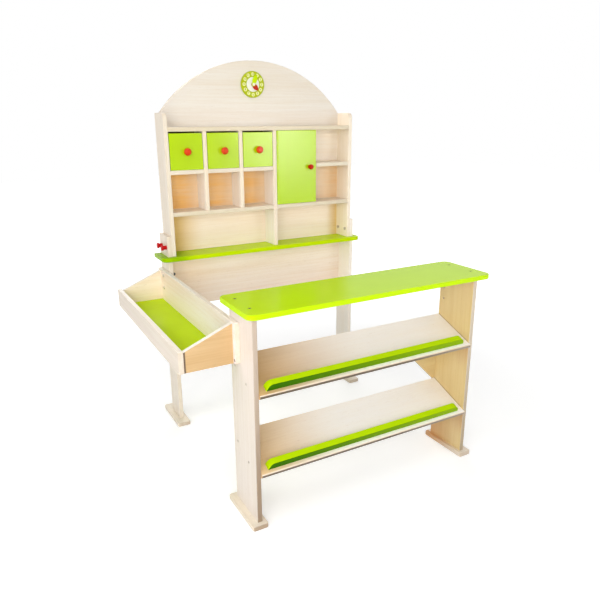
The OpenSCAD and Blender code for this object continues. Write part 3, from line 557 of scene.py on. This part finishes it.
dress(paint("red_peg", rgb(0.53, 0.010, 0.012), 0.26, 0.05, 5.0, CHIP_DARK), "red_pegs")
dress(metal("black_steel", rgb(0.13, 0.12, 0.115), rgb(0.075, 0.068, 0.062)),
      "door_pins", "barrel_nut", "top_screws", "brace_screws")
dress(metal("worn_steel", rgb(0.40, 0.36, 0.31), rgb(0.27, 0.23, 0.19)), "tray_bolts")
dress(zinc, "post_bolts", "shelf_screws")

for name, node in nodes.items():
    node.data.materials.clear()
    node.data.materials.append(looks[name])

# Twelve plain numbers on the dial

NUMBER_SIZE, NUMBER_EXTRUDE, NUMBER_LIFT = 0.0085, 0.00008, 0.00006
ink = paint("number_ink", rgb(0.09, 0.10, 0.004), 0.40, 0.05, 2.0)
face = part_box("clock_dial")[0].y
for hour in range(1, 13):
    turn = HOUR * hour
    text = bpy.data.curves.new(f"number_{hour}", "FONT")
    text.body = str(hour)
    text.size = NUMBER_SIZE
    text.align_x, text.align_y = "CENTER", "CENTER"
    text.extrude = NUMBER_EXTRUDE
    text.resolution_u = 4
    o = bpy.data.objects.new(f"number_{hour}", text)
    scene.collection.objects.link(o)
    at = (CLOCK[0] + NUMBER_RING * math.sin(turn), face - NUMBER_LIFT, CLOCK[2] + NUMBER_RING * math.cos(turn))
    o.matrix_world = Matrix.Translation(at) @ Matrix.Rotation(math.radians(90), 4, "X")
    bpy.context.view_layer.update()
    mesh = bpy.data.meshes.new_from_object(o.evaluated_get(bpy.context.evaluated_depsgraph_get()))
    number = bpy.data.objects.new(f"dial_number_{hour}", mesh)
    scene.collection.objects.link(number)
    number.matrix_world = o.matrix_world.copy()
    bpy.data.objects.remove(o)
    bpy.data.curves.remove(text)
    mesh.materials.clear()
    mesh.materials.append(ink)
    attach(number, "stall")

# Two bolt heads at the back corner of the tray, on its tall panel, where the left post stands behind it

HEAD_RINGS = ((0.0053, 0.0), (0.0053, 0.0008), (0.0047, 0.0018), (0.0036, 0.0024), (0.0029, 0.0025))  # radius, height
SOCKET_RADIUS, SOCKET_FLOOR = 0.0024, 0.0011
HEAD_STEPS = 24
SHARP_ANGLE = math.radians(35)
HEADS_Y, HEADS_Z = 0.273, (0.477, 0.440)


def hexagon(radius, turn):
    """A hexagon's radius at an angle, from the radius of its corners."""
    return radius * math.cos(math.pi / 6) / math.cos(turn % (math.pi / 3) - math.pi / 6)


def bolt_head(name, y, z):
    """A domed head with a hexagon socket, standing on the panel's left face."""
    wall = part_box("tray_tall_panel")[0].x
    bm = bmesh.new()

    def ring(radius, height, six=False):
        verts = []
        for k in range(HEAD_STEPS):
            t = 2 * math.pi * k / HEAD_STEPS
            r = hexagon(radius, t) if six else radius
            verts.append(bm.verts.new((wall - height, y + r * math.cos(t), z + r * math.sin(t))))
        return verts

    rings = [ring(r, h) for r, h in HEAD_RINGS]
    rings += [ring(SOCKET_RADIUS, HEAD_RINGS[-1][1], True), ring(SOCKET_RADIUS, SOCKET_FLOOR, True)]
    for a, b in zip(rings, rings[1:]):
        for k in range(HEAD_STEPS):
            j = (k + 1) % HEAD_STEPS
            bm.faces.new((a[k], a[j], b[j], b[k]))
    bm.faces.new(rings[0])
    bm.faces.new(rings[-1])
    bmesh.ops.recalc_face_normals(bm, faces=bm.faces)
    for f in bm.faces:
        f.smooth = True
    for e in bm.edges:
        e.smooth = e.calc_face_angle(0.0) < SHARP_ANGLE
    mesh = bpy.data.meshes.new(name)
    bm.to_mesh(mesh)
    bm.free()
    mesh.materials.append(zinc)
    o = bpy.data.objects.new(name, mesh)
    scene.collection.objects.link(o)
    return o


for k, z in enumerate(HEADS_Z, 1):
    head = bolt_head(f"tray_bolt_head_{k}", HEADS_Y, z)
    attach(head, "stall")

# Camera, fitted to the photograph

VIEW_TURN, VIEW_DROP, VIEW_ROLL = math.radians(28.98), math.radians(17.12), math.radians(-0.31)
VIEW_FROM = (-0.7348, -1.3946, 0.9164)
FOCAL_PIXELS, IMAGE_PIXELS, SENSOR = 581.9, 600, 36.0

level = math.cos(VIEW_DROP)
ahead = Vector((math.sin(VIEW_TURN) * level, math.cos(VIEW_TURN) * level, -math.sin(VIEW_DROP)))
right = Vector((math.cos(VIEW_TURN), -math.sin(VIEW_TURN), 0.0))
up = right.cross(ahead)
image_right = math.cos(VIEW_ROLL) * right + math.sin(VIEW_ROLL) * up
image_up = math.cos(VIEW_ROLL) * up - math.sin(VIEW_ROLL) * right
camera = bpy.data.objects.new("camera", bpy.data.cameras.new("camera"))
scene.collection.objects.link(camera)
camera.data.sensor_fit = "HORIZONTAL"
camera.data.sensor_width = SENSOR
camera.data.lens = FOCAL_PIXELS / IMAGE_PIXELS * SENSOR
camera.data.clip_end = 60.0
pose = Matrix((image_right, image_up, -ahead)).transposed().to_4x4()
pose.translation = Vector(VIEW_FROM)
camera.matrix_world = pose
scene.camera = camera

# Floor: nearly white to the camera, with the stall's soft shadow kept

WHITE = rgb(1, 1, 1)
FLOOR_HALF, FLOOR_DROP = 9, 0.0004
FLOOR_TONE = rgb(0.78, 0.79, 0.81)
GLOW_NEAR, GLOW_FAR = (0.7, 0.38), (2.2, 0.90)  # distance from the middle, strength

floor_mesh = bpy.data.meshes.new("floor")
corners = [(sx * FLOOR_HALF, sy * FLOOR_HALF, 0) for sx, sy in ((-1, -1), (1, -1), (1, 1), (-1, 1))]
floor_mesh.from_pydata(corners, [], [(0, 1, 2, 3)])
floor = bpy.data.objects.new("floor", floor_mesh)
floor.location.z = -FLOOR_DROP
scene.collection.objects.link(floor)
floor_look, g = material("studio_floor")
rays = g.put("ShaderNodeLightPath")
seen = g.math("MAXIMUM", rays.outputs["Is Camera Ray"], rays.outputs["Is Glossy Ray"])
diffuse = g.put("ShaderNodeBsdfDiffuse", 0, Color=FLOOR_TONE)
x, y, z = g.parts(surface_coords(g)[0])
glow = g.step(g.length(x, y), GLOW_NEAR[0], GLOW_FAR[0], GLOW_NEAR[1], GLOW_FAR[1])
emission = g.put("ShaderNodeEmission", 0, Color=WHITE, Strength=g.times(seen, glow))
g.put("ShaderNodeOutputMaterial", Surface=g.put("ShaderNodeAddShader", 0, i0=diffuse, i1=emission))
floor_mesh.materials.append(floor_look)

# World: white to the camera and to reflections that look to the back, and a weak even light otherwise

WORLD_LIGHT, FRONT_REFLECTION = 0.20, 0.06

world = bpy.data.worlds.new("studio")
scene.world = world
world.use_nodes = True
g = Graph(world.node_tree)
rays = g.put("ShaderNodeLightPath")
toward_back = g.parts(g.put("ShaderNodeTexCoord").outputs["Generated"])[1]
mirrored = g.times(rays.outputs["Is Glossy Ray"], g.step(toward_back, -0.15, 0.30, FRONT_REFLECTION, 1.0))
shown = g.math("MAXIMUM", rays.outputs["Is Camera Ray"], mirrored)
shown = g.math("MAXIMUM", shown, rays.outputs["Is Transmission Ray"])
strength = g.step(shown, 0.0, 1.0, WORLD_LIGHT, 1.0)
g.put("ShaderNodeOutputWorld", Surface=g.put("ShaderNodeBackground", 0, Color=WHITE, Strength=strength))

# Lamps: a large soft key at the front left, a fill at the right, soft light from the left, above and behind, and one
# narrow lamp for the sheen on the drawers and the door

LAMP_TONE = (1.0, 0.98, 0.95)
OPEN = 180.0


def softbox(name, at, toward, width, height, power, grid=OPEN):
    """A rectangular soft light. grid is the angle that a honeycomb in front of it lets through, in degrees."""
    data = bpy.data.lights.new(name, "AREA")
    data.shape = "RECTANGLE"
    data.size, data.size_y = width, height
    data.energy = power
    data.color = LAMP_TONE
    data.spread = math.radians(grid)
    o = bpy.data.objects.new(name, data)
    scene.collection.objects.link(o)
    o.location = at
    o.rotation_euler = (Vector(toward) - Vector(at)).to_track_quat("-Z", "Y").to_euler()


softbox("front_near", (-1.02, -1.68, 0.92), (0.0, -0.1, 0.45), 1.6, 1.1, 26.0)
softbox("fill_right", (1.7, -2.2, 1.0), (0.0, -0.15, 0.40), 1.35, 1.4, 12.5)
softbox("key_left", (-2.1, -2.3, 2.3), (0.0, 0.0, 0.55), 2.0, 2.0, 5.0)
softbox("side_left", (-2.7, -0.3, 1.9), (0.0, 0.0, 0.55), 2.0, 2.0, 33.0)
softbox("sheen_right", (1.62, -2.75, 0.97), (0.08, 0.25, 0.92), 0.52, 0.90, 0.165, grid=18.0)
softbox("overhead", (0.0, -0.5, 3.2), (0.0, -0.1, 0.0), 2.6, 2.6, 22.0)
softbox("behind_high", (0.9, 3.0, 2.7), (0.0, 0.0, 0.5), 2.2, 1.8, 42.0)
